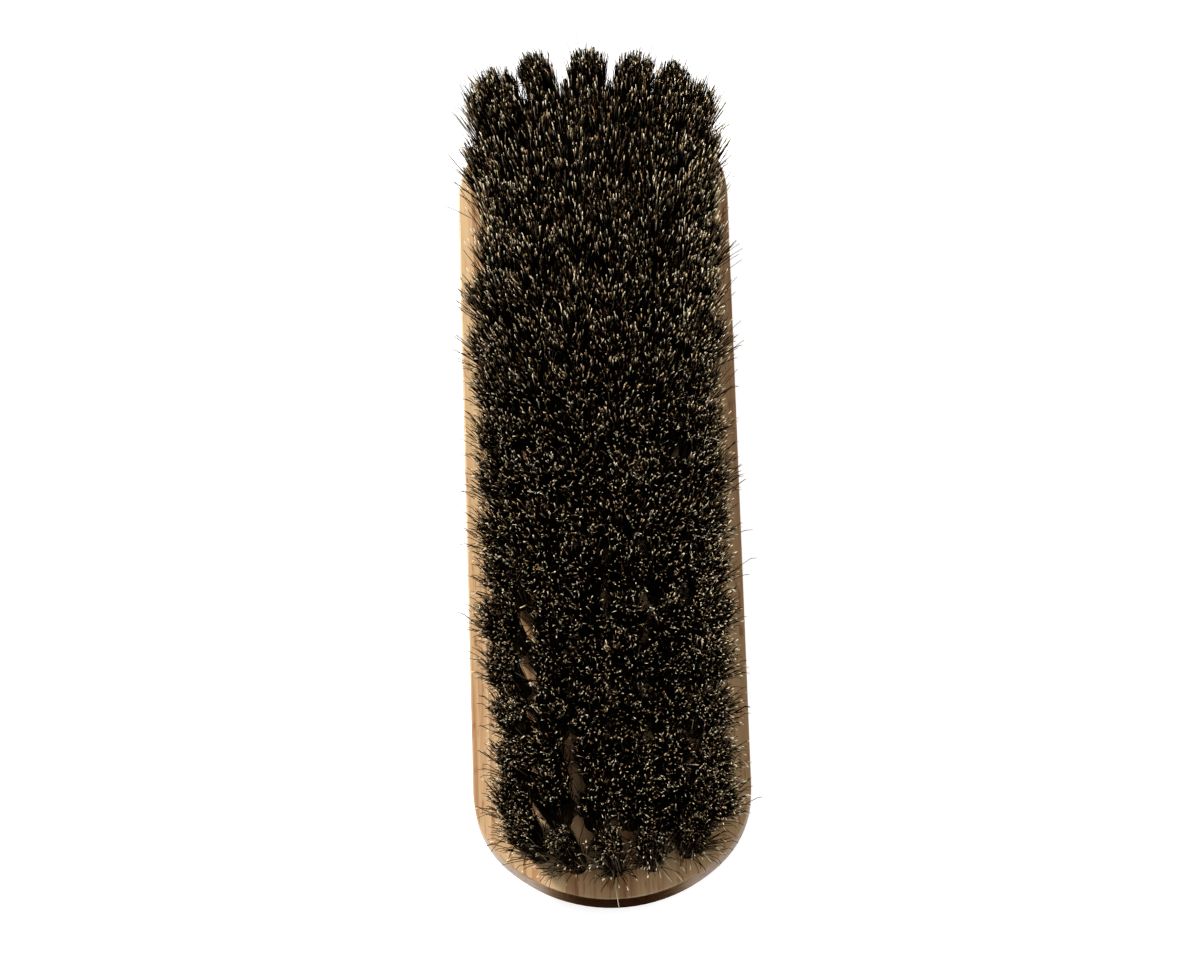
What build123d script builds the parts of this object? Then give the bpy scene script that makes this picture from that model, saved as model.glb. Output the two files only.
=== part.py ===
from build123d import *
import math
import os

# Shoe shine brush: a drilled beech block filled with flat-trimmed tufts of horsehair.
# All sizes are in millimetres. The brush lies on its back with the hair up (+Z). Its length runs along Y,
# and the origin is the middle of the flat land that it rests on.

os.makedirs("parts", exist_ok=True)

# Beech block. Each end is a three-centred arch: one wide arc between two corner arcs.
block_length = 170.0
block_width = 55.0
block_thickness = 19.0
end_bulge = 16.6  # rise of the wide arc over the full width of the block
end_corner_radius = 19.5
rim_height = 7.0  # upright band under the face of the block
back_slope = 22.0  # degrees that the sides and ends lean in below the rim
back_edge_radius = 8.0
face_edge_chamfer = 0.5

# Finger grooves, one along each long side, cut with a ball-nosed cutter
groove_length = 112.0
groove_depth = 1.8
groove_radius = 7.0
groove_height = 8.0  # middle of the groove above the back of the block

# Drilled holes. They are drawn with eight flats, which keeps so many of them light.
hole_diameter = 4.6
hole_depth = 10.0
side_margin = 10.0  # from the long side to the outer column of holes
end_margin = 6.8  # from the tip of an end to the nearest hole
column_pitch = 7.0
row_pitch = 9.2
end_row_radius = 34.0  # the first and the last row are arched like the end of the block
end_row_pitch = 7.5
end_row_holes = 5
across_splay_share = 0.166  # how much further out than its hole a tuft ends, across the block
along_splay_share = 0.05  # the same along the block

# Horsehair tufts. Each is a packed root that opens out into four strands.
hair_length = 27.0  # from the face of the block to the trimmed tips
root_clearance = 0.1  # between the packed hair and the wall of its hole
root_rise = 1.2  # packed hair that shows above the face before it opens out
fold_height = 1.4  # hair doubled under the anchor
tuft_tip_width = 5.6
strand_tip_width = 2.2
strand_sink = 0.6  # how far a strand runs down into its packed root
strand_inset = 0.05  # from a strand to the edge of the leg that carries it

# Flat wire anchors
anchor_thickness = 0.4
anchor_height = 1.8
anchor_clearance = 0.05

# Shared by all cuts, past the surface that they open
overrun = 1.0

flats = 8
half_length = block_length / 2
half_width = block_width / 2
tip_height = block_thickness + hair_length
hole_radius = hole_diameter / 2
root_radius = hole_radius - root_clearance
shoulder_height = block_thickness - rim_height
slot_width = anchor_thickness + 2 * anchor_clearance


def block_outline():
    """The block's plan: straight sides and an arched end, mirrored to make the other."""
    end_radius = (half_width**2 + end_bulge**2) / (2 * end_bulge)
    corner_place = half_width - end_corner_radius
    rise = math.sqrt((end_radius - end_corner_radius) ** 2 - corner_place**2)
    turn = math.degrees(math.atan2(rise, corner_place))
    end_centre = half_length - end_radius
    side_end = end_centre + rise
    half = [
        Line((half_width, 0), (half_width, side_end)),
        CenterArc((corner_place, side_end), end_corner_radius, 0, turn),
        CenterArc((0, end_centre), end_radius, turn, 180 - 2 * turn),
        CenterArc((-corner_place, side_end), end_corner_radius, 180 - turn, turn),
        Line((-half_width, side_end), (-half_width, 0)),
    ]
    return make_face([*half, *[mirror(edge, about=Plane.XZ) for edge in half]])


def finger_groove(side):
    """The sweep of a ball-nosed cutter along one side."""
    run = groove_length - 2 * groove_radius
    bar = Rot(90, 0, 0) * Cylinder(groove_radius, run)
    ends = [Pos(0, end * run / 2, 0) * Sphere(groove_radius) for end in (-1, 1)]
    slope = math.radians(back_slope)
    surface = half_width - (shoulder_height - groove_height) * math.tan(slope)
    place = surface + (groove_radius - groove_depth) / math.cos(slope)
    return Pos(side * place, 0, groove_height) * (bar + ends)


def tuft_frame(x, y):
    """The frame of one tuft: on the face of the block, with Z up its splayed hole."""
    splay = Vector(x * across_splay_share, y * along_splay_share, hair_length)
    across = Vector(0, 1, 0).cross(splay)
    return Plane(origin=(x, y, block_thickness), x_dir=across, z_dir=splay)


def straight_row(y):
    """The tufts of one straight row, spread evenly between the side margins."""
    span = block_width - 2 * side_margin
    gaps = max(1, round(span / column_pitch))
    step = span / gaps
    return [tuft_frame(column * step - span / 2, y) for column in range(gaps + 1)]


def arched_row(end):
    """The tufts of the arched row at one end, -1 or 1."""
    centre = half_length - end_margin - end_row_radius
    frames = []
    for place in range(end_row_holes):
        angle = (place - (end_row_holes - 1) / 2) * end_row_pitch / end_row_radius
        x = end_row_radius * math.sin(angle)
        y = end * (centre + end_row_radius * math.cos(angle))
        frames.append(tuft_frame(x, y))
    return frames


def all_rows():
    """The tufts of every row, from the near end to the far one."""
    span = block_length - 2 * end_margin
    gaps = max(2, round(span / row_pitch))
    step = span / gaps
    straight = [straight_row(row * step - span / 2) for row in range(1, gaps)]
    return [arched_row(-1), *straight, arched_row(1)]


def handle_block(rows):
    """The handle: an upright rim over a tapered, rounded back, with grooved sides and a drilled face."""
    outline = Pos(0, 0, shoulder_height) * block_outline()
    rim = extrude(outline, amount=rim_height)
    back = extrude(outline, amount=shoulder_height, dir=(0, 0, -1), taper=back_slope)
    block = rim + back
    back_edges = block.faces().sort_by(Axis.Z)[0].edges()
    block = fillet(back_edges, radius=back_edge_radius)
    face_edges = block.faces().sort_by(Axis.Z)[-1].edges()
    block = chamfer(face_edges, length=face_edge_chamfer)
    block = block - [finger_groove(-1), finger_groove(1)]
    drill = extrude(RegularPolygon(hole_radius, flats), amount=hole_depth + overrun)
    seat = Pos(0, 0, -hole_depth)
    return block - [frame * seat * drill for row in rows for frame in row]


def packed_root():
    """The hair packed in its hole: two legs over a fold, with the anchor's slot between them."""
    height = hole_depth + root_rise
    packed = extrude(RegularPolygon(root_radius, flats), amount=height)
    slot = Box(hole_diameter, slot_width, height, align=(Align.CENTER, Align.CENTER, Align.MIN))
    return Pos(0, 0, -hole_depth) * (packed - Pos(0, 0, fold_height) * slot)


def strand(quarter):
    """One four-sided strand, splayed from a quarter of the root. It is long enough to be trimmed."""
    root_inner = slot_width / 2 + strand_inset
    root_outer = root_radius / math.sqrt(2) - strand_inset
    tip_outer = tuft_tip_width / 2
    tip_inner = tip_outer - strand_tip_width
    top = hair_length + overrun + tuft_tip_width / 2
    corners = []
    for height, inner, outer in (
        (root_rise - strand_sink, root_inner, root_outer),
        (top, tip_inner, tip_outer),
    ):
        corners += [(x, y, height) for x in (inner, outer) for y in (inner, outer)]
    return Rot(0, 0, quarter * 90) * ConvexPolyhedron(corners)


def tuft():
    """One tuft before trimming: its packed root with two strands on each leg."""
    return packed_root() + [strand(quarter) for quarter in range(4)]


def tuft_row(frames, one_tuft):
    """One row of tufts, each in its own hole, with the tips trimmed flat."""
    trimmed = []
    for frame in frames:
        kept = split(frame * one_tuft, bisect_by=Plane.XY.offset(tip_height), keep=Keep.BOTTOM)
        trimmed.extend(kept.solids())
    return Compound(trimmed)


def tuft_anchors(rows):
    """The flat wires that hold the tufts: each lies across its hole, on the fold of the hair."""
    corner_cut = anchor_thickness / 2 * math.tan(math.pi / flats)
    length = 2 * (hole_radius - corner_cut - anchor_clearance)
    anchor = Box(length, anchor_thickness, anchor_height, align=(Align.CENTER, Align.CENTER, Align.MIN))
    seat = Pos(0, 0, fold_height - hole_depth)
    return Compound([solid for row in rows for frame in row for solid in (frame * seat * anchor).solids()])


rows = all_rows()
export_step(handle_block(rows), "parts/handle_block.step")
one_tuft = tuft()
for number, frames in enumerate(rows, start=1):
    export_step(tuft_row(frames, one_tuft), f"parts/tuft_row_{number:02d}.step")
export_step(tuft_anchors(rows), "parts/tuft_anchors.step")
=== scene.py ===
"""The look of the shoe shine brush: its varnished beech block and its horsehair tufts, in the CAD frame."""

import math

import bpy
import numpy as np
from mathutils import Matrix, Vector
from mathutils.geometry import delaunay_2d_cdt


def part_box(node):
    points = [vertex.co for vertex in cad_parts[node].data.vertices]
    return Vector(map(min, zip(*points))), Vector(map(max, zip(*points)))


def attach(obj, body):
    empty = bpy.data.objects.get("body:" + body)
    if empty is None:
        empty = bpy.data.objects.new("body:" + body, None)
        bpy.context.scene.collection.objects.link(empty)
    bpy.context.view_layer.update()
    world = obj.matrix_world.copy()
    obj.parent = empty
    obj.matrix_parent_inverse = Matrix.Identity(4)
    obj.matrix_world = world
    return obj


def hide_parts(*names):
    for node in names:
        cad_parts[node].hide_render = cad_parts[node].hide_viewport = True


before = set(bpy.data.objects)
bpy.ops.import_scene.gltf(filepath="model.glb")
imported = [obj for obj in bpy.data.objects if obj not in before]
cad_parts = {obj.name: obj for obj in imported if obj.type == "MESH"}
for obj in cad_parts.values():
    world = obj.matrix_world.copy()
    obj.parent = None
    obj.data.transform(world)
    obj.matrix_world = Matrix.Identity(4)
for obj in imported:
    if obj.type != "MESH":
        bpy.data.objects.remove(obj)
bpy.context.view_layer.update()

MM = 0.001

# Camera, fitted to the photograph: it looks down steeply, from over the near end of the brush
VIEW_ELEVATION = 71.9
VIEW_AZIMUTH = 1.0
VIEW_ROLL = -2.92
VIEW_DISTANCE = 1.2
VIEW_AIM = (-0.42 * MM, 1.84 * MM, 19.0 * MM)
LENS = 179.1

# Light: a key lamp from the far left, a weaker one from above the near end, and the level of the surround
KEY_PLACE = (-1.05, 0.72, 1.1)
KEY_POWER = 53.0
FILL_PLACE = (0.15, -0.4, 1.3)
FILL_POWER = 7.4
LAMP_SIZE = 0.35
SURROUND_LEVEL = 0.15
FLOOR_COLOUR = (0.55, 0.55, 0.55, 1.0)
FLOOR_GLOW = 0.76  # makes the unshaded floor white to the camera
FLOOR_REACH = 3.0

# Block: what the frame's box doesn't tell
END_BULGE = 16.6 * MM
CORNER_RADIUS = 19.5 * MM
RIM_HEIGHT = 7.0 * MM
RIM_ROUNDING = 0.35 * MM
SHOULDER_ROUNDING = 4.0 * MM
BACK_SLOPE = math.radians(22.0)
BACK_ROUNDING = 8.0 * MM
GROOVE_LENGTH = 112.0 * MM
GROOVE_DEPTH = 1.8 * MM
GROOVE_RADIUS = 7.0 * MM
GROOVE_HEIGHT = 8.0 * MM
GROOVE_SOFTNESS = 0.5 * MM
HOLE_RADIUS = 2.3 * MM
HOLE_DEPTH = 10.0 * MM
HOLE_STEPS = 24
SIDE_STEPS = 70
CORNER_STEPS = 10
END_STEPS = 24
EDGE_STEPS = 5
SLOPE_STEPS = 14
BACK_STEPS = 16
SHARP_ANGLE = math.radians(32)

# Hair: its strands
HAIRS_PER_TUFT = 1000
HAIR_RADIUS = 0.09 * MM
HAIR_THICKNESS = (0.75, 1.15)  # least and greatest share of the radius
PALE_EXTRA = 0.45  # share of the radius that pale hairs have more
PALE_FROM = 0.87  # the shade from which a hair counts as pale
HAIR_SIDES = 3
HAIR_STEPS = np.array((0.0, 0.3, 0.58, 0.78, 0.91, 1.0))  # places of its rings, as shares of its length
HAIR_SINK = 4.0 * MM  # how far down its hole a hair is drawn
HAIR_SHADES = 64
# A hair's pale colour is kept to its tip, where the light reaches into the tuft: partly painted highlight.
MIDDLE_FADE = 4.0  # how near to the tip a hair's shade shows, at the middle of the block
FAR_FADE = 1.9  # the same at the far end

# Hair: how the tufts spread
PACKED_RADIUS = 2.05 * MM
TUFT_TIP_RADII = (5.0 * MM, 5.5 * MM)  # across and along the block
SIDE_TIP_RADII = (4.2 * MM, 5.2 * MM)
NEAR_TIP_RADII = (2.8 * MM, 3.4 * MM)
FAR_TIP_RADII = (3.6 * MM, 3.3 * MM)
RADII_SPREAD = 0.06
FAR_ROW_STANDS_BACK = 1.4 * MM
CROWDING = 0.5  # the smaller, the more of a tuft's hairs stand near its outside
RIM_CROWDING = 0.6
TUFT_WANDER = 0.4 * MM
TIP_SCATTER = 0.4 * MM
CLUMPS = 16
CLUMP_SHARE = 0.35
END_EDGE = 0.5  # how far along the block a rim tuft's outward way points, when it stands at an end
SIDE_EDGE = 0.8  # how far across it points, when it stands at the right side

# Hair: loose hairs
LOOSE_SHARE = 0.2
SIDE_LOOSE_SHARE = 0.34
END_LOOSE_SHARE = 0.3
LOOSE_REACH = 1.3 * MM  # mean, past the tuft
SIDE_LOOSE_REACH = 1.8 * MM
NEAR_LOOSE_REACH = 2.6 * MM
FAR_LOOSE_REACH = 1.2 * MM
LONGEST_LOOSE = 2.9 * MM
LONGEST_NEAR_LOOSE = 4.8 * MM
LOOSE_WAYS = (0.8, 0.6)  # how much a loose hair leans its own way, and at most outward
FAR_LOOSE_WAYS = (0.4, 1.1)
LOOSE_FALL = (0.3, 2.0)  # how much lower a loose hair ends, for how far it strays
LOOSE_KINK_SHARE = 0.3

# Hair: bends and trimmed ends
BEND = (0.8, 1.6)
WAVE = 0.10 * MM
WAVE_TURN = 5.0
SWAY = 0.3 * MM
TIP_KINK = 0.38 * MM
FAR_KINK_SHARE = 0.2
TIP_DROOP = 0.5 * MM  # towards the near end, in the near half
TRIM_JITTER = 0.3 * MM
TUFT_TRIM_JITTER = 0.25 * MM
SHORT_SHARE = 0.12
SHORT_BY = 3.5 * MM  # at most

# Hair: shades, from 0 for dark to 1 for pale. Pale tips are partly painted highlight, and the pale and brown
# hairs of the rim and far end partly painted light
DARKNESS_PLACES = (-0.9, -0.75, 0.0, 0.8)  # along the block, as shares of half its length
DARKNESS = (2.0, 1.5, 1.5, 1.85)  # the greater, the fewer pale hairs
PALE_SHADES = (0.93, 1.0)
# Pale loose hairs along the rim, most along the right side: partly pale hair, partly painted light on the edge
# hairs.
PALE_AND_LIT_EDGE_SHARE = 0.3  # of the loose hairs along the rim
PALE_PAINTED_LIGHT_SIDE_SHARE = 0.55  # the same along the right side
BLACK_SHADES = (0.35, 0.5)  # the hairs that are black all along
BLACK_SHARE = 0.8  # of the loose hairs along the rim that are not pale
# Brown hairs: partly real hair colour, partly painted light, the brown that outer and far hairs show where the
# light catches them.
BROWN_SHADES = (0.80, 0.84)  # the hairs that are brown all along
BROWN_SHARE = 0.1  # of the hairs of the tufts at the rim and the far end
OUTER_PAINTED_LIGHT_SHARE = 0.4  # of the hairs on their outer side
OUTER_FROM = 0.5  # how far out from the middle of its tuft such a hair stands, as a share
PALE_STRAY_SHADE = 0.995
DARK_STRAY_SHADE = 0.4

# Tufts that stand otherwise than their holes lead them, by row and place: how far in millimetres across and
# along the block, and how full they are
TUFT_SHIFTS = {
    (1, 1): (-1.1, 2.6, 0.95), (1, 2): (-1.7, 2.0, 0.82), (1, 3): (-1.0, 1.9, 0.88), (1, 4): (-0.6, 1.9, 1.0),
    (1, 5): (-0.8, 1.8, 1.08), (2, 1): (0.8, 2.2, 0.74), (2, 2): (-0.3, 3.6, 0.72), (2, 3): (0.9, 2.2, 0.86),
    (2, 4): (-0.2, 2.0, 0.95), (2, 5): (0.0, 1.4, 1.0), (2, 6): (0.0, 1.0, 0.95), (3, 1): (0.3, 2.2, 0.74),
    (3, 2): (-0.9, 2.2, 0.74), (3, 3): (0.8, 0.9, 0.97), (4, 1): (0.5, 1.6, 0.74), (4, 2): (0.4, 1.4, 0.8),
    (5, 1): (0.0, 0.9, 0.78), (5, 2): (0.9, 0.4, 0.82), (6, 1): (-1.0, 0.6, 0.86), (6, 2): (0.9, 0.3, 0.9),
    (4, 6): (0.0, 0.3, 0.9), (3, 6): (0.0, 0.0, 0.85), (12, 1): (-0.5, 0.0, 1.0), (13, 1): (-0.6, 0.0, 1.0),
    (13, 6): (0.7, 0.0, 1.0), (14, 1): (0.8, 0.0, 1.0),
    (14, 6): (1.1, 0.0, 1.0), (15, 1): (1.3, 0.0, 0.95), (15, 6): (1.5, 0.0, 1.0), (16, 1): (-0.2, 0.0, 1.0),
    (16, 6): (1.7, 0.0, 1.0), (17, 1): (-0.2, 1.0, 1.15), (17, 6): (1.2, -0.6, 1.05),
    (18, 1): (-1.2, -1.0, 1.45), (18, 2): (-2.7, 0.8, 0.82), (18, 3): (0.7, 0.9, 1.08),
    (18, 4): (0.1, 0.4, 1.05), (18, 5): (0.0, 1.0, 1.0),
}

# Gaps where the wood shows between the tufts: a place among their tips and a radius, in millimetres
GAPS = [
    (-15.9, -35.2, 2.3), (-15.8, -45.2, 2.4), (-15.5, -49.7, 1.9), (-15.0, -54.5, 1.8), (-17.5, -56.5, 1.4),
    (-7.5, -54.3, 1.4), (-8.6, -61.8, 1.6), (-7.0, -65.7, 1.6), (-6.1, -68.3, 1.9), (-17.8, -65.1, 1.7),
    (-9.4, -74.3, 2.1), (-6.2, -77.4, 2.3), (3.7, -77.8, 2.0), (18.4, -40.8, 1.4), (17.2, -57.8, 1.9),
    (15.3, -64.8, 1.3), (-13.4, 75.2, 1.8), (-13.4, 72.8, 1.1), (-5.8, 80.8, 0.6),
]
GAP_LEAN = 0.34  # how far a gap leans to the far end on its way down, at the middle of the block
GAP_LEAN_RISE = 0.9  # how much more it leans for each metre nearer the far end
GAP_KEPT_CLEAR = 0.91  # share of the hairs that keep out of the gaps
GAP_EDGE = (0.8, 1.5)  # how far from the middle of a gap they keep, as a share of its radius
GAP_GRIP = 2.5  # how soon above the face of the block a hair gives way to a gap

# Long stray hairs, as (start, end) places in millimetres
PALE_STRAYS = [
    ((-0.1, -80.2, 26), (0.6, -87.0, 21)), ((24.4, -62.6, 40), (26.7, -63.6, 37)),
    ((23.9, -68.9, 39), (27.0, -69.4, 36)), ((24.0, -70.9, 39), (26.8, -71.6, 36)),
    ((24.2, -72.5, 38), (26.5, -73.0, 35)), ((8.9, -81.5, 34), (11.1, -84.6, 30)),
    ((11.0, -82.0, 34), (13.1, -84.4, 30)), ((12.2, -81.7, 35), (13.7, -83.0, 32)),
    ((15.2, -80.2, 36), (14.7, -83.1, 33)), ((8.3, -81.3, 34), (9.0, -83.7, 30)),
    ((16.8, -79.1, 36), (19.0, -81.4, 32)), ((18.4, -77.8, 37), (21.0, -79.9, 34)),
]
DARK_STRAYS = [
    ((-24.3, -70.7, 40), (-26.6, -70.1, 38)), ((-23.3, -72.3, 40), (-26.4, -72.4, 37)),
    ((-21.0, -76.7, 38), (-23.9, -78.4, 34)), ((-21.2, -76.9, 38), (-24.6, -77.1, 34)),
    ((-19.3, -77.8, 36), (-20.9, -79.9, 31)), ((-16.7, -78.1, 32), (-17.7, -79.3, 26)),
    ((-11.5, -80.3, 32), (-13.0, -83.9, 25)), ((-8.2, -80.4, 32), (-7.2, -82.7, 26)),
    ((-4.7, -80.5, 32), (-6.1, -82.6, 26)), ((5.1, -78.7, 33), (4.2, -81.6, 27)),
    ((-26.1, 57.5, 38), (-24.6, 55.6, 36)), ((-26.2, 53.2, 38), (-24.0, 52.5, 35)),
    ((21.5, -75.5, 37), (24.2, -77.2, 34)),
]
STRAY_BACK = 1.5  # how far a stray goes on back into its tuft, as a share of what shows of it
STRAY_SINK = 0.3  # how far down it goes there, as a share of its fall
STRAY_CURL = 0.3 * MM
STRAY_SEED = 5
FIRST_ROW_SEED = 11

ROWS = sorted(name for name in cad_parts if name.startswith("tuft_row_"))
BLOCK_LOW, BLOCK_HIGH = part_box("handle_block")
HALF_LENGTH = (BLOCK_HIGH.y - BLOCK_LOW.y) / 2
HALF_WIDTH = (BLOCK_HIGH.x - BLOCK_LOW.x) / 2
FACE_HEIGHT = BLOCK_HIGH.z
TIP_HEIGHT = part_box(ROWS[0])[1].z


def new_material(name):
    """A material with nothing but its Principled shader. Returns the material and its tools."""
    material = bpy.data.materials.new(name)
    material.use_nodes = True
    nodes = material.node_tree.nodes
    links = material.node_tree.links
    return material, nodes, links, nodes["Principled BSDF"]


def ramp(nodes, stops):
    """A colour ramp node with the given (position, colour) stops."""
    node = nodes.new("ShaderNodeValToRGB")
    elements = node.color_ramp.elements
    while len(elements) < len(stops):
        elements.new(0.5)
    for element, (position, colour) in zip(elements, stops):
        element.position = position
        element.color = (*colour, 1.0)
    return node


def stretched_noise(nodes, links, coordinates, scale, detail, roughness=0.5, distortion=0.0):
    """Noise whose scale is given per metre along each axis."""
    mapping = nodes.new("ShaderNodeMapping")
    mapping.inputs["Scale"].default_value = scale
    noise = nodes.new("ShaderNodeTexNoise")
    noise.inputs["Scale"].default_value = 1.0
    noise.inputs["Detail"].default_value = detail
    noise.inputs["Roughness"].default_value = roughness
    noise.inputs["Distortion"].default_value = distortion
    links.new(coordinates, mapping.inputs["Vector"])
    links.new(mapping.outputs["Vector"], noise.inputs["Vector"])
    return noise.outputs["Fac"]


def math_node(nodes, links, operation, first, second):
    """A math node of two values, each a socket or a number."""
    node = nodes.new("ShaderNodeMath")
    node.operation = operation
    for socket, value in zip(node.inputs, (first, second)):
        if isinstance(value, (int, float)):
            socket.default_value = value
        else:
            links.new(value, socket)
    return node.outputs["Value"]


def mix_colours(nodes, links, share, first, second, blend="MIX"):
    """Mixes two colour sockets by a share, a socket or a number."""
    node = nodes.new("ShaderNodeMix")
    node.data_type = "RGBA"
    node.blend_type = blend
    if isinstance(share, (int, float)):
        node.inputs["Factor"].default_value = share
    else:
        links.new(share, node.inputs["Factor"])
    links.new(first, node.inputs["A"])
    links.new(second, node.inputs["B"])
    return node.outputs["Result"]


def beech_material():
    """Varnished beech as a solid texture: streaks, fibres and rays along the block, and ends darkened both as
    end grain and as painted shade.
    """
    material, nodes, links, shader = new_material("beech")
    coordinates = nodes.new("ShaderNodeTexCoord")
    place = coordinates.outputs["Object"]

    drift = stretched_noise(nodes, links, place, (70, 5, 70), 2.0)
    tone = ramp(nodes, [(0.3, (0.42, 0.275, 0.130)), (0.5, (0.495, 0.34, 0.178)), (0.7, (0.56, 0.40, 0.228))])
    links.new(drift, tone.inputs["Fac"])
    wood = tone.outputs["Color"]

    split = nodes.new("ShaderNodeSeparateXYZ")
    links.new(place, split.inputs["Vector"])
    inward = nodes.new("ShaderNodeMapRange")
    inward.inputs["From Min"].default_value = -HALF_LENGTH
    inward.inputs["From Max"].default_value = -0.7 * HALF_LENGTH
    links.new(split.outputs["Y"], inward.inputs["Value"])
    board_tone = ramp(nodes, [(0.0, (1.0, 0.97, 0.96)), (1.0, (0.985, 0.965, 0.95))])
    links.new(inward.outputs["Result"], board_tone.inputs["Fac"])
    wood = mix_colours(nodes, links, 1.0, wood, board_tone.outputs["Color"], "MULTIPLY")

    rings = nodes.new("ShaderNodeTexWave")
    rings.wave_type = "RINGS"
    rings.rings_direction = "Y"
    rings.wave_profile = "SAW"
    rings.inputs["Scale"].default_value = 1.0
    rings.inputs["Distortion"].default_value = 5.0
    rings.inputs["Detail"].default_value = 3.0
    rings.inputs["Detail Scale"].default_value = 0.6
    pith = nodes.new("ShaderNodeMapping")
    pith.inputs["Location"].default_value = (-2.0, 0.0, 9.0)
    pith.inputs["Rotation"].default_value = (0.0, 0.0, 0.03)
    pith.inputs["Scale"].default_value = (130, 5, 130)
    links.new(place, pith.inputs["Vector"])
    links.new(pith.outputs["Vector"], rings.inputs["Vector"])
    ring_tone = ramp(
        nodes,
        [
            (0.0, (1.0, 1.0, 1.0)),
            (0.7, (0.95, 0.92, 0.90)),
            (0.9, (0.62, 0.46, 0.37)),
            (1.0, (0.55, 0.40, 0.31)),
        ],
    )
    links.new(rings.outputs["Fac"], ring_tone.inputs["Fac"])
    wood = mix_colours(nodes, links, 0.7, wood, ring_tone.outputs["Color"], "MULTIPLY")

    streaks = stretched_noise(nodes, links, place, (480, 9, 480), 3.0, 0.6, 0.4)
    streak_stops = [(0.36, (0.60, 0.45, 0.36)), (0.44, (0.90, 0.84, 0.79)), (0.55, (1.0, 1.0, 1.0))]
    streak_tone = ramp(nodes, streak_stops)
    links.new(streaks, streak_tone.inputs["Fac"])
    wood = mix_colours(nodes, links, 0.85, wood, streak_tone.outputs["Color"], "MULTIPLY")

    fibres = stretched_noise(nodes, links, place, (2400, 50, 2400), 4.0, 0.65)
    fibre_tone = ramp(nodes, [(0.3, (0.74, 0.66, 0.60)), (0.6, (1.0, 1.0, 1.0))])
    links.new(fibres, fibre_tone.inputs["Fac"])
    wood = mix_colours(nodes, links, 0.6, wood, fibre_tone.outputs["Color"], "MULTIPLY")

    rays = stretched_noise(nodes, links, place, (1300, 200, 1300), 1.0)
    ray_tone = ramp(nodes, [(0.63, (1.0, 1.0, 1.0)), (0.73, (0.60, 0.42, 0.32))])
    links.new(rays, ray_tone.inputs["Fac"])
    wood = mix_colours(nodes, links, 0.8, wood, ray_tone.outputs["Color"], "MULTIPLY")

    # The walls that face along the block are darkened far past real end grain: partly end grain, partly
    # painted shade for the shadow on the near end wall.
    facing = nodes.new("ShaderNodeSeparateXYZ")
    links.new(coordinates.outputs["Normal"], facing.inputs["Vector"])
    across = math_node(nodes, links, "MULTIPLY", facing.outputs["X"], facing.outputs["X"])
    along = math_node(nodes, links, "MULTIPLY", facing.outputs["Y"], facing.outputs["Y"])
    level = math_node(nodes, links, "MAXIMUM", math_node(nodes, links, "ADD", across, along), 0.001)
    end_grain = nodes.new("ShaderNodeMapRange")
    end_grain.interpolation_type = "SMOOTHSTEP"
    end_grain.inputs["From Min"].default_value = 0.70
    end_grain.inputs["From Max"].default_value = 0.97
    links.new(math_node(nodes, links, "DIVIDE", along, level), end_grain.inputs["Value"])
    upright = nodes.new("ShaderNodeMapRange")
    upright.interpolation_type = "SMOOTHSTEP"
    upright.inputs["From Min"].default_value = 0.15
    upright.inputs["From Max"].default_value = 0.75
    links.new(level, upright.inputs["Value"])
    ends = math_node(nodes, links, "MULTIPLY", end_grain.outputs["Result"], upright.outputs["Result"])
    end_grain_and_shade_tone = ramp(nodes, [(0.0, (1.0, 1.0, 1.0)), (1.0, (0.10, 0.062, 0.045))])
    links.new(ends, end_grain_and_shade_tone.inputs["Fac"])
    wood = mix_colours(nodes, links, 1.0, wood, end_grain_and_shade_tone.outputs["Color"], "MULTIPLY")
    links.new(wood, shader.inputs["Base Color"])

    rough = nodes.new("ShaderNodeMapRange")
    rough.inputs["To Min"].default_value = 0.42
    rough.inputs["To Max"].default_value = 0.6
    links.new(fibres, rough.inputs["Value"])
    links.new(rough.outputs["Result"], shader.inputs["Roughness"])
    bump = nodes.new("ShaderNodeBump")
    bump.inputs["Strength"].default_value = 0.25
    bump.inputs["Distance"].default_value = 0.05 * MM
    links.new(math_node(nodes, links, "SUBTRACT", fibres, rays), bump.inputs["Height"])
    links.new(bump.outputs["Normal"], shader.inputs["Normal"])
    shader.inputs["Specular IOR Level"].default_value = 0.0
    varnish = math_node(nodes, links, "SUBTRACT", 0.55, ends)
    links.new(math_node(nodes, links, "MAXIMUM", varnish, 0.0), shader.inputs["Coat Weight"])
    shader.inputs["Coat Roughness"].default_value = 0.3
    return material


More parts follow.
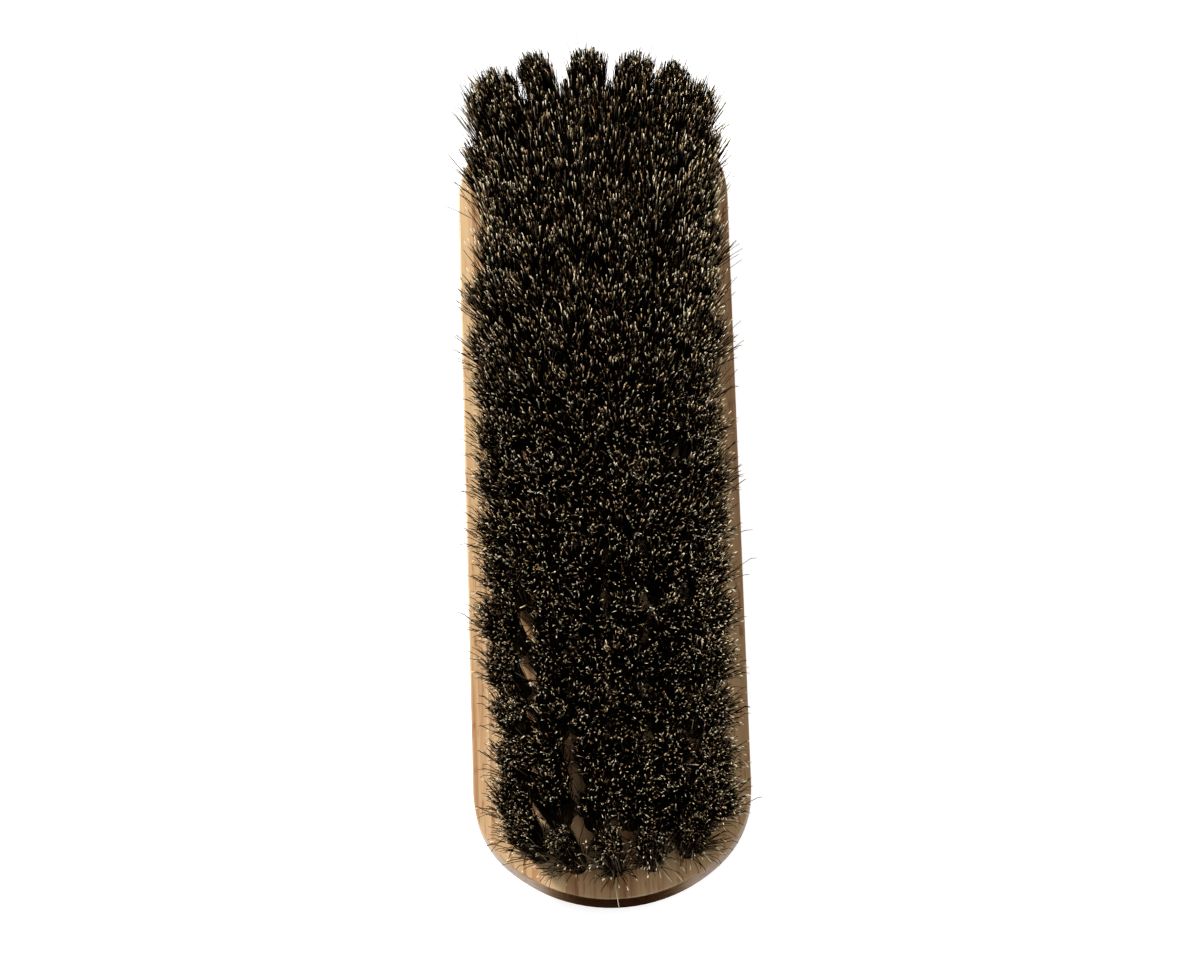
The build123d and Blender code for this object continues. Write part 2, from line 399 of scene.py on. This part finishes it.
def horsehair_material():
    """Dark horsehair. A hair's place across the UV map gives its shade, which shows up the map, at its tip.
    The pale tips are partly pale hair and partly painted highlight, and the browner lower shafts partly
    painted sheen.
    """
    material, nodes, links, shader = new_material("horsehair")
    uv = nodes.new("ShaderNodeUVMap")
    uv.uv_map = "OFBake"
    split = nodes.new("ShaderNodeSeparateXYZ")
    links.new(uv.outputs["UV"], split.inputs["Vector"])
    # Tip colours: partly pale hairs, partly painted highlight that stands for glints, since the hair has no
    # specular.
    shade = ramp(
        nodes,
        [
            (0.0, (0.002, 0.0015, 0.0012)),
            (0.78, (0.004, 0.0028, 0.002)),
            (0.80, (0.03, 0.02, 0.011)),
            (0.84, (0.20, 0.135, 0.075)),
            (0.85, (0.05, 0.030, 0.016)),
            (0.88, (0.26, 0.16, 0.07)),
            (0.90, (0.50, 0.42, 0.26)),
            (0.92, (0.50, 0.24, 0.09)),
            (0.94, (0.97, 0.76, 0.40)),
            (0.96, (0.80, 0.80, 0.58)),
            (0.98, (1.0, 0.74, 0.50)),
            (1.0, (1.0, 0.93, 0.68)),
        ],
    )
    links.new(split.outputs["X"], shade.inputs["Fac"])
    # The brown and pale bands here serve the hairs that are brown or pale all along. At the rim and far end
    # these are partly painted light.
    middle = ramp(
        nodes,
        [
            (0.0, (0.0015, 0.0012, 0.001)),
            (0.78, (0.003, 0.002, 0.0015)),
            (0.80, (0.03, 0.02, 0.011)),
            (0.84, (0.17, 0.115, 0.062)),
            (0.86, (0.004, 0.003, 0.002)),
            (0.94, (0.004, 0.003, 0.002)),
            (0.965, (0.05, 0.03, 0.016)),
            (0.985, (0.42, 0.33, 0.21)),
        ],
    )
    links.new(split.outputs["X"], middle.inputs["Fac"])
    # Lower shafts: browner partly as hair colour, partly as painted sheen for the shafts that side light
    # catches between the tufts.
    foot = ramp(
        nodes,
        [
            (0.0, (0.085, 0.055, 0.030)),
            (0.4, (0.02, 0.013, 0.008)),
            (0.7, (0.06, 0.04, 0.022)),
            (0.94, (0.14, 0.095, 0.055)),
            (1.0, (0.42, 0.33, 0.21)),
        ],
    )
    links.new(split.outputs["X"], foot.inputs["Fac"])
    colour = foot.outputs["Color"]
    for part, low, high in ((middle, 0.12, 0.4), (shade, 0.7, 0.95)):
        rise = nodes.new("ShaderNodeMapRange")
        rise.interpolation_type = "SMOOTHSTEP"
        rise.inputs["From Min"].default_value = low
        rise.inputs["From Max"].default_value = high
        links.new(split.outputs["Y"], rise.inputs["Value"])
        colour = mix_colours(nodes, links, rise.outputs["Result"], colour, part.outputs["Color"])
    links.new(colour, shader.inputs["Base Color"])
    shader.inputs["Roughness"].default_value = 0.6
    shader.inputs["Specular IOR Level"].default_value = 0.0
    return material


def anchor_material():
    """Drawn steel wire, faintly streaked."""
    material, nodes, links, shader = new_material("anchor_wire")
    place = nodes.new("ShaderNodeTexCoord").outputs["Object"]
    streaks = stretched_noise(nodes, links, place, (400, 6000, 6000), 2.0)
    tone = ramp(nodes, [(0.3, (0.42, 0.42, 0.40)), (0.7, (0.62, 0.61, 0.58))])
    links.new(streaks, tone.inputs["Fac"])
    links.new(tone.outputs["Color"], shader.inputs["Base Color"])
    shader.inputs["Metallic"].default_value = 1.0
    shader.inputs["Roughness"].default_value = 0.35
    return material


def floor_material():
    """White paper: it takes the brush's shadow, and shows white to the camera elsewhere."""
    material, nodes, links, shader = new_material("white_floor")
    shader.inputs["Base Color"].default_value = FLOOR_COLOUR
    shader.inputs["Roughness"].default_value = 0.9
    shader.inputs["Specular IOR Level"].default_value = 0.0
    path = nodes.new("ShaderNodeLightPath")
    seen = math_node(nodes, links, "MAXIMUM", path.outputs["Is Camera Ray"], path.outputs["Is Glossy Ray"])
    seen = math_node(nodes, links, "MAXIMUM", seen, path.outputs["Is Transmission Ray"])
    glow = nodes.new("ShaderNodeEmission")
    links.new(math_node(nodes, links, "MULTIPLY", seen, FLOOR_GLOW), glow.inputs["Strength"])
    both = nodes.new("ShaderNodeAddShader")
    links.new(shader.outputs["BSDF"], both.inputs[0])
    links.new(glow.outputs["Emission"], both.inputs[1])
    links.new(both.outputs["Shader"], nodes["Material Output"].inputs["Surface"])
    return material


def mesh_object(name, vertices, faces, material, smooth=True):
    """A mesh object in the scene."""
    mesh = bpy.data.meshes.new(name)
    mesh.from_pydata(vertices, [], faces)
    mesh.validate()
    mesh.materials.append(material)
    if smooth:
        mesh.shade_smooth()
    piece = bpy.data.objects.new(name, mesh)
    bpy.context.scene.collection.objects.link(piece)
    return piece


def tuft_axes(node):
    """The (root, tip) of each tuft of a row: where its axis leaves the block, and its trimmed end."""
    points = np.array([vertex.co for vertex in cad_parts[node].data.vertices])
    heights = points[:, 2]
    feet = points[heights < heights.min() + 1.0 * MM]
    tips = points[heights > heights.max() - 0.1 * MM]
    feet = feet[np.argsort(feet[:, 0])]
    tips = tips[np.argsort(tips[:, 0])]
    steps = np.diff(feet[:, 0])
    count = 1 + int((steps > 0.8 * HOLE_RADIUS).sum())
    axes = []
    for foot, tip in zip(np.array_split(feet, count), np.array_split(tips, count)):
        low = Vector(foot.mean(axis=0))
        high = Vector(tip.mean(axis=0))
        share = (FACE_HEIGHT - low.z) / (high.z - low.z)
        axes.append((low.lerp(high, share), high))
    return axes


def outline(inset):
    """The block's plan, inset all round: straight sides and three-centred ends."""
    end_radius = (HALF_WIDTH**2 + END_BULGE**2) / (2 * END_BULGE)
    corner_place = HALF_WIDTH - CORNER_RADIUS
    rise = math.sqrt((end_radius - CORNER_RADIUS) ** 2 - corner_place**2)
    turn = math.atan2(rise, corner_place)
    end_centre = HALF_LENGTH - end_radius
    side_end = end_centre + rise
    points = []
    for step in range(SIDE_STEPS):
        points.append((HALF_WIDTH - inset, side_end * (2 * step / SIDE_STEPS - 1)))
    arcs = [
        (corner_place, side_end, CORNER_RADIUS, 0.0, turn, CORNER_STEPS),
        (0.0, end_centre, end_radius, turn, math.pi - turn, END_STEPS),
        (-corner_place, side_end, CORNER_RADIUS, math.pi - turn, math.pi, CORNER_STEPS),
    ]
    for x, y, radius, start, stop, steps in arcs:
        for step in range(steps):
            angle = start + (stop - start) * step / steps
            reach = radius - inset
            points.append((x + reach * math.cos(angle), y + reach * math.sin(angle)))
    return points + [(-x, -y) for x, y in points]


def arc_profile(centre, radius, start, stop, steps):
    """Points of an arc in the profile's (inset, height) plane."""
    angles = [start + (stop - start) * step / steps for step in range(steps + 1)]
    return [(centre[0] - radius * math.cos(a), centre[1] + radius * math.sin(a)) for a in angles]


def block_profile():
    """The block's section from the face to the back, as (inset, height) points."""
    shoulder = FACE_HEIGHT - RIM_HEIGHT
    rim = arc_profile((RIM_ROUNDING, FACE_HEIGHT - RIM_ROUNDING), RIM_ROUNDING, math.pi / 2, 0.0, EDGE_STEPS)
    reach = SHOULDER_ROUNDING * math.tan(BACK_SLOPE / 2)
    corner = (SHOULDER_ROUNDING, shoulder + reach)
    middle = arc_profile(corner, SHOULDER_ROUNDING, 0.0, -BACK_SLOPE, EDGE_STEPS)
    foot_inset = shoulder * math.tan(BACK_SLOPE)
    turn = math.pi / 2 - BACK_SLOPE
    foot_reach = BACK_ROUNDING * math.tan(turn / 2)
    centre = (foot_inset + foot_reach, BACK_ROUNDING)
    back = arc_profile(centre, BACK_ROUNDING, -BACK_SLOPE, -math.pi / 2, BACK_STEPS)
    start, stop = middle[-1], back[0]
    slope = []
    for step in range(1, SLOPE_STEPS):
        inset = start[0] + (stop[0] - start[0]) * step / SLOPE_STEPS
        height = start[1] + (stop[1] - start[1]) * step / SLOPE_STEPS
        slope.append((inset, height))
    return rim + middle + slope + back


def soft_minimum(first, second, softness):
    """The smaller of two lengths, blended where they are alike."""
    blend = max(softness - abs(first - second), 0.0) / softness
    return min(first, second) - blend * blend * softness / 4


def grooved(x, y, z):
    """The x of a point of the block's side, drawn in to the finger groove where it lies in one."""
    slope_place = HALF_WIDTH - (FACE_HEIGHT - RIM_HEIGHT - GROOVE_HEIGHT) * math.tan(BACK_SLOPE)
    axis = slope_place + (GROOVE_RADIUS - GROOVE_DEPTH) / math.cos(BACK_SLOPE)
    past = max(0.0, abs(y) - (GROOVE_LENGTH / 2 - GROOVE_RADIUS))
    room = GROOVE_RADIUS**2 - (z - GROOVE_HEIGHT) ** 2 - past**2
    if room <= 0:
        return x
    limit = axis - math.sqrt(room)
    return math.copysign(soft_minimum(abs(x), limit, GROOVE_SOFTNESS), x)


def drilled_face(ring, roots):
    """Triangles of the flat face between its edge ring and the mouths of the holes."""
    flat = [Vector((x, y)) for x, y, z in ring]
    edges = [(i, (i + 1) % len(ring)) for i in range(len(ring))]
    for root in roots:
        first = len(flat)
        for step in range(HOLE_STEPS):
            angle = 2 * math.pi * step / HOLE_STEPS
            mouth = (root.x + HOLE_RADIUS * math.cos(angle), root.y + HOLE_RADIUS * math.sin(angle))
            flat.append(Vector(mouth))
            edges.append((first + step, first + (step + 1) % HOLE_STEPS))
    points, _, triangles, sources, _, _ = delaunay_2d_cdt(flat, edges, [], 0, 1e-9)
    kept = []
    for triangle in triangles:
        middle = sum((points[i] for i in triangle), Vector((0, 0))) / len(triangle)
        if all((middle - root.xy).length > HOLE_RADIUS * 0.98 for root in roots):
            kept.append([sources[i][0] for i in triangle])
    return flat[len(ring):], kept


def beech_block(axes):
    """The handle block: lofted rings of its outline, a drilled face and round, splayed holes."""
    profile = block_profile()
    vertices = []
    for inset, height in profile:
        for x, y in outline(inset):
            vertices.append((grooved(x, y, height), y, height))
    ring_size = len(vertices) // len(profile)
    faces = []
    for ring in range(len(profile) - 1):
        for step in range(ring_size):
            here = ring * ring_size + step
            beside = ring * ring_size + (step + 1) % ring_size
            faces.append((here, here + ring_size, beside + ring_size, beside))
    faces.append(range(len(vertices) - 1, len(vertices) - 1 - ring_size, -1))

    mouths, triangles = drilled_face(vertices[:ring_size], [root for root, tip in axes])
    first_mouth = len(vertices)
    vertices += [(point.x, point.y, FACE_HEIGHT) for point in mouths]
    shift = first_mouth - ring_size
    faces += [[i if i < ring_size else i + shift for i in triangle] for triangle in triangles]

    for number, (root, tip) in enumerate(axes):
        down = (root - tip).normalized() * HOLE_DEPTH
        top = first_mouth + number * HOLE_STEPS
        bottom = len(vertices)
        vertices += [tuple(Vector(vertices[top + step]) + down) for step in range(HOLE_STEPS)]
        for step in range(HOLE_STEPS):
            after = (step + 1) % HOLE_STEPS
            faces.append((top + step, top + after, bottom + after, bottom + step))
        faces.append(range(bottom, bottom + HOLE_STEPS))
    block = mesh_object("beech_block", vertices, faces, beech_material())
    block.data.set_sharp_from_angle(angle=SHARP_ANGLE)
    return block


def hair_row(name, axes, count, seed, material, edge_of):
    """One row's hair as one mesh: thin three-sided strands, each with its own bend, shade and trimmed end.
    The axes are the (root, tip, fullness) of its tufts."""
    source = np.random.default_rng(seed)
    lines, shades = [], []
    for root, tip, fullness in axes:
        start, end = np.array(root), np.array(tip)
        tuft_lines, tuft_shades = tuft_strands(source, start, end, fullness, count, edge_of(root))
        lines.append(tuft_lines)
        shades.append(tuft_shades)
    fade = np.interp(axes[0][0].y, (0.0, 0.9 * HALF_LENGTH), (MIDDLE_FADE, FAR_FADE))
    return strand_mesh(name, source, np.concatenate(lines), np.concatenate(shades), fade, material)


def standing_tufts(number, axes):
    """The (root, tip, fullness) of a row's tufts, with the tips moved to where the tufts really stand."""
    moved = []
    for place, (root, tip) in enumerate(axes, start=1):
        across, along, fullness = TUFT_SHIFTS.get((number, place), (0.0, 0.0, 1.0))
        if number == len(ROWS):
            along -= FAR_ROW_STANDS_BACK / MM
        moved.append((root, tip + Vector((across * MM, along * MM, 0.0)), fullness))
    return moved


def opened_gaps(source, lines, along):
    """Moves the hairs out of the gaps. A few stay, and cross them."""
    obeys = source.random(len(lines)) < GAP_KEPT_CLEAR
    edge = source.uniform(*GAP_EDGE, len(lines))[:, None]
    grip = np.clip(along * GAP_GRIP, 0, 1) * obeys[:, None]
    for x, y, radius in GAPS:
        drop = TIP_HEIGHT - lines[:, :, 2]
        lean = GAP_LEAN + GAP_LEAN_RISE * y * MM
        away = np.stack([lines[:, :, 0] - x * MM, lines[:, :, 1] - y * MM - lean * drop], 2)
        distance = np.maximum(np.linalg.norm(away, axis=2), 0.05 * MM)
        push = np.maximum(radius * MM * edge - distance, 0.0) * grip
        lines[:, :, :2] += away / distance[:, :, None] * push[:, :, None]


def rim_habit(edge):
    """How a tuft spreads by its place: its tip radii, and of its loose hairs the share on the outer side, the
    mean reach and the longest."""
    if edge is None:
        return TUFT_TIP_RADII, LOOSE_SHARE, LOOSE_REACH, LONGEST_LOOSE
    if edge[1] < -END_EDGE:
        return NEAR_TIP_RADII, END_LOOSE_SHARE, NEAR_LOOSE_REACH, LONGEST_NEAR_LOOSE
    if edge[1] > END_EDGE:
        return FAR_TIP_RADII, END_LOOSE_SHARE, FAR_LOOSE_REACH, LONGEST_LOOSE
    return SIDE_TIP_RADII, SIDE_LOOSE_SHARE, SIDE_LOOSE_REACH, LONGEST_LOOSE


def hair_drift(source, ways, share, start, fullness, edge):
    """How far across its tuft each hair drifts from foot to tip, which are loose, and how far they stray."""
    count = len(ways)
    radii, outer_share, reach, longest = rim_habit(edge)
    loose_share = LOOSE_SHARE
    astray = ways
    if edge is not None:
        loose_share = np.where(ways @ edge[:2] > 0, outer_share, LOOSE_SHARE)
        own, outward = FAR_LOOSE_WAYS if edge[1] > END_EDGE else LOOSE_WAYS
        astray = ways * own + edge[:2] * source.random((count, 1)) * outward
    spread = np.array(radii) * fullness * source.normal(1.0, RADII_SPREAD, 2) - PACKED_RADIUS
    drift = ways * share[:, None] * spread
    drift += source.normal(0, TIP_SCATTER, (count, 2))
    loose = source.random(count) < loose_share * (0.4 + 0.6 * share)
    strayed = loose * np.minimum(source.exponential(reach, count), longest)
    drift += astray * strayed[:, None]
    drift += source.normal(0, TIP_SCATTER, (count, 2)) * loose[:, None]

    ends = start + drift
    middles = ends[source.choice(count, CLUMPS, replace=False)]
    nearest = np.argmin(((ends[:, None] - middles[None]) ** 2).sum(2), 1)
    drift += (middles[nearest] - ends) * (source.random(count) * CLUMP_SHARE * ~loose)[:, None]
    return drift, loose, strayed


def hair_shades(source, y, ways, share, loose, edge):
    """The shade of each hair of the tuft that ends at y: mostly dark, with pale, black and brown ones; the
    pale and brown ones at the rim are partly painted light.
    """
    count = len(ways)
    shades = source.random(count) ** np.interp(y / HALF_LENGTH, DARKNESS_PLACES, DARKNESS)
    black = np.zeros(count, bool)
    # Painted light, in part: more loose rim hairs are pale, most along the right side, for the light the edge
    # hairs catch.
    if edge is not None and edge[1] < END_EDGE:
        pale_and_lit_share = PALE_PAINTED_LIGHT_SIDE_SHARE if edge[0] > SIDE_EDGE else PALE_AND_LIT_EDGE_SHARE
        pale = loose & (source.random(count) < pale_and_lit_share)
        shades = np.where(pale, source.uniform(*PALE_SHADES, count), shades)
        black = loose & ~pale & (source.random(count) < BLACK_SHARE)
        shades = np.where(black, source.uniform(*BLACK_SHADES, count), shades)

    # Painted light, in part: the outer hairs of rim tufts, and more hairs towards the far end, are made brown
    # for the light they catch.
    brown_and_lit_share = np.full(count, BROWN_SHARE * np.interp(y, (0.0, 0.8 * HALF_LENGTH), (0.0, 1.0)))
    if edge is not None:
        outwardness = ways @ edge[:2]
        outer = (loose & (outwardness > 0)) | (share * outwardness > OUTER_FROM)
        brown_and_lit_share = np.where(outer, OUTER_PAINTED_LIGHT_SHARE, BROWN_SHARE)
    brown = ~black & (source.random(count) < brown_and_lit_share)
    shades = np.where(brown & (shades < PALE_SHADES[0]), source.uniform(*BROWN_SHADES, count), shades)
    return np.minimum(shades, 0.9999)


def tuft_strands(source, root, tip, fullness, count, edge):
    """The centre lines of one tuft's hairs, as an array of hairs by rings by three, and each hair's shade."""
    tip = tip + source.normal(0, TUFT_WANDER, 3) * (1, 1, 0)
    axis = (tip - root) / np.linalg.norm(tip - root)
    side = np.cross((0.0, 1.0, 0.0), axis)
    side /= np.linalg.norm(side)
    other = np.cross(axis, side)

    share = source.random(count) ** (CROWDING if edge is None else RIM_CROWDING)
    turn = source.random(count) * 2 * math.pi
    ways = np.stack([np.cos(turn), np.sin(turn)], 1)
    start = ways * (share * PACKED_RADIUS)[:, None]
    drift, loose, strayed = hair_drift(source, ways, share, start, fullness, edge)
    shades = hair_shades(source, tip[1], ways, share, loose, edge)

    bend = source.uniform(*BEND, count)
    wave = source.normal(0, WAVE, (count, 2))
    phase = source.random(count) * 2 * math.pi
    trim = source.normal(0, TRIM_JITTER, count) + source.normal(0, TUFT_TRIM_JITTER)
    trim -= (source.random(count) < SHORT_SHARE) * source.random(count) * SHORT_BY
    trim -= strayed * source.uniform(*LOOSE_FALL, count)
    end = start + drift
    grown = (TIP_HEIGHT + trim - root[2] - end[:, 0] * side[2] - end[:, 1] * other[2]) / axis[2]

    rise = HAIR_STEPS[None, :] * (grown + HAIR_SINK)[:, None] - HAIR_SINK
    along = np.clip(rise / grown[:, None], 0, 1)
    lateral = start[:, None, :] + drift[:, None, :] * (along ** bend[:, None])[:, :, None]
    lateral += wave[:, None, :] * (np.sin(along * WAVE_TURN + phase[:, None]) * along)[:, :, None]
    lateral += source.normal(0, SWAY, (count, 1, 2)) * (along**3)[:, :, None]
    kink = TIP_KINK * np.interp(tip[1], (0.0, 0.8 * HALF_LENGTH), (1.0, FAR_KINK_SHARE))
    lateral[:, -1] += source.normal(0, kink, (count, 2)) * np.where(loose, LOOSE_KINK_SHARE, 1.0)[:, None]
    lines = root + rise[:, :, None] * axis + lateral[:, :, :1] * side + lateral[:, :, 1:] * other
    opened_gaps(source, lines, along)
    lines[:, -1, 1] -= TIP_DROOP * np.interp(tip[1], (0.0, 0.5 * HALF_LENGTH), (1.0, 0.0))
    return lines, shades


def stray_hairs(material):
    """Long stray hairs around the near end and the sides, each bent down from inside a tuft."""
    source = np.random.default_rng(STRAY_SEED)
    lines, shades = [], []
    for strays, shade in ((PALE_STRAYS, PALE_STRAY_SHADE), (DARK_STRAYS, DARK_STRAY_SHADE)):
        for start, end in strays:
            start, end = np.array(start) * MM, np.array(end) * MM
            back = start - (end - start) * (STRAY_BACK, STRAY_BACK, STRAY_SINK)
            along = HAIR_STEPS[:, None]
            curl = source.normal(0, STRAY_CURL, 3) * np.sin(along * math.pi)
            lines.append(back * (1 - along) ** 2 + start * 2 * along * (1 - along) + end * along**2 + curl)
            shades.append(shade)
    return strand_mesh("stray_hairs", source, np.array(lines), np.array(shades), 1.0, material)


def strand_mesh(name, source, lines, shades, fade, material):
    """A mesh of thin tapering strands along the given centre lines. Each has a band of the UV map for its
    shade. The greater the fade, the nearer to the tip it starts to show."""
    count, rings, _ = lines.shape
    heading = np.gradient(lines, axis=1)
    heading /= np.linalg.norm(heading, axis=2, keepdims=True)
    first = np.cross(heading, (0.0, 1.0, 0.0))
    first /= np.linalg.norm(first, axis=2, keepdims=True)
    second = np.cross(heading, first)
    thickness = HAIR_RADIUS * (source.uniform(*HAIR_THICKNESS, count) + PALE_EXTRA * (shades > PALE_FROM))
    taper = np.interp(HAIR_STEPS, [0, 0.6, 1], [0.9, 1.0, 0.7])
    radius = thickness[:, None] * taper
    twist = source.random(count) * 2 * math.pi
    corners = []
    for corner in range(HAIR_SIDES):
        angle = twist + 2 * math.pi * corner / HAIR_SIDES
        across = first * np.cos(angle)[:, None, None] + second * np.sin(angle)[:, None, None]
        corners.append(lines + across * radius[:, :, None])
    points = np.stack(corners, 2).reshape(-1, 3)

    quads, places = [], []
    for ring in range(rings - 1):
        for corner in range(HAIR_SIDES):
            after = (corner + 1) % HAIR_SIDES
            low, high = ring * HAIR_SIDES, (ring + 1) * HAIR_SIDES
            quads += [low + corner, low + after, high + after, high + corner]
            bottom, top = HAIR_STEPS[ring] ** fade, HAIR_STEPS[ring + 1] ** fade
            places += [(0.1, bottom), (0.9, bottom), (0.9, top), (0.1, top)]
    cap = [(rings - 1) * HAIR_SIDES + corner for corner in range(HAIR_SIDES)]
    for corner in range(HAIR_SIDES):
        places.append((0.1 + 0.8 * corner / (HAIR_SIDES - 1), 1.0 - 0.03 * (corner % 2)))
    one_hair = np.array(quads + cap)
    stride = rings * HAIR_SIDES
    loops = (one_hair[None] + (np.arange(count) * stride)[:, None]).ravel()
    sizes = np.tile(np.array([4] * (len(quads) // 4) + [HAIR_SIDES]), count)
    starts = np.concatenate([[0], np.cumsum(sizes)[:-1]])
    band = np.floor(shades * HAIR_SHADES) / HAIR_SHADES
    uv = np.array(places)[None] * (1 / HAIR_SHADES, 1.0) + np.stack([band, np.zeros(count)], 1)[:, None]

    mesh = bpy.data.meshes.new(name)
    mesh.vertices.add(len(points))
    mesh.vertices.foreach_set("co", points.astype(np.float32).ravel())
    mesh.loops.add(len(loops))
    mesh.loops.foreach_set("vertex_index", loops.astype(np.int32))
    mesh.polygons.add(len(sizes))
    mesh.polygons.foreach_set("loop_start", starts.astype(np.int32))
    layer = mesh.uv_layers.new(name="OFBake")
    layer.uv.foreach_set("vector", uv.astype(np.float32).ravel())
    mesh.update(calc_edges=True)
    mesh.shade_smooth()
    mesh.materials.append(material)
    piece = bpy.data.objects.new(name, mesh)
    bpy.context.scene.collection.objects.link(piece)
    return piece


def outward_edge(axes_by_row):
    """A function that tells which way is outward for a tuft at the rim, and None for one inside."""
    everyone = [root for axes in axes_by_row.values() for root, tip in axes]
    widest = max(abs(root.x) for root in everyone)
    longest = max(abs(root.y) for root in everyone)

    def edge_of(root):
        across = abs(root.x) > widest - 1.0 * MM
        along = abs(root.y) > longest - 5.0 * MM
        if not across and not along:
            return None
        way = np.array([root.x / widest, root.y / longest if along else 0.0, 0.0])
        return way / np.linalg.norm(way)

    return edge_of


def camera():
    """The camera at the photograph's angle."""
    data = bpy.data.cameras.new("camera")
    data.lens = LENS
    data.sensor_width = 36.0
    data.clip_start = 0.05
    eye = bpy.data.objects.new("camera", data)
    bpy.context.scene.collection.objects.link(eye)
    elevation, azimuth, roll = (math.radians(a) for a in (VIEW_ELEVATION, VIEW_AZIMUTH, VIEW_ROLL))
    back = Vector(
        (
            math.sin(azimuth) * math.cos(elevation),
            -math.cos(azimuth) * math.cos(elevation),
            math.sin(elevation),
        )
    )
    right = Vector((0, 0, 1)).cross(back).normalized()
    up = back.cross(right)
    turned = right * math.cos(roll) + up * math.sin(roll)
    up = up * math.cos(roll) - right * math.sin(roll)
    eye.matrix_world = Matrix((turned, up, back)).transposed().to_4x4()
    eye.location = Vector(VIEW_AIM) + back * VIEW_DISTANCE
    bpy.context.scene.camera = eye


def area_light(name, place, size, power):
    """A soft square lamp that faces the middle of the brush."""
    data = bpy.data.lights.new(name, "AREA")
    data.energy = power
    data.size = size
    lamp = bpy.data.objects.new(name, data)
    lamp.location = place
    lamp.rotation_euler = Vector(place).to_track_quat("Z", "Y").to_euler()
    bpy.context.scene.collection.objects.link(lamp)


def studio():
    """The two lamps and a plain surround, which is white to the camera and dimmer as a light."""
    area_light("key", KEY_PLACE, LAMP_SIZE, KEY_POWER)
    area_light("fill", FILL_PLACE, LAMP_SIZE, FILL_POWER)
    world = bpy.data.worlds.new("surround")
    bpy.context.scene.world = world
    world.use_nodes = True
    nodes, links = world.node_tree.nodes, world.node_tree.links
    background = nodes["Background"]
    path = nodes.new("ShaderNodeLightPath")
    seen = math_node(nodes, links, "MAXIMUM", path.outputs["Is Camera Ray"], path.outputs["Is Glossy Ray"])
    seen = math_node(nodes, links, "MAXIMUM", seen, path.outputs["Is Transmission Ray"])
    strength = nodes.new("ShaderNodeMapRange")
    strength.inputs["To Min"].default_value = SURROUND_LEVEL
    strength.inputs["To Max"].default_value = 1.0
    links.new(seen, strength.inputs["Value"])
    links.new(strength.outputs["Result"], background.inputs["Strength"])
    background.inputs["Color"].default_value = (1.0, 1.0, 1.0, 1.0)


def floor():
    """A plain white floor, well past the edges of the picture."""
    corners = [(x * FLOOR_REACH, y * FLOOR_REACH, 0) for x, y in ((-1, -1), (1, -1), (1, 1), (-1, 1))]
    ground = mesh_object("floor", corners, [(0, 1, 2, 3)], floor_material(), smooth=False)


camera()
studio()
floor()
bpy.context.scene.view_settings.view_transform = "Standard"

axes_by_row = {row: tuft_axes(row) for row in ROWS}
block = beech_block([axis for row in ROWS for axis in axes_by_row[row]])
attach(block, "root")
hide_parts("handle_block")

hair = horsehair_material()
edge_of = outward_edge(axes_by_row)
for index, row in enumerate(ROWS):
    axes = standing_tufts(index + 1, axes_by_row[row])
    seed = FIRST_ROW_SEED + index
    piece = hair_row(f"hair_{row[-2:]}", axes, HAIRS_PER_TUFT, seed, hair, edge_of)
    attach(piece, "root")
    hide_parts(row)

strays = stray_hairs(hair)
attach(strays, "root")

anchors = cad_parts["tuft_anchors"]
anchors.data.materials.clear()
anchors.data.materials.append(anchor_material())
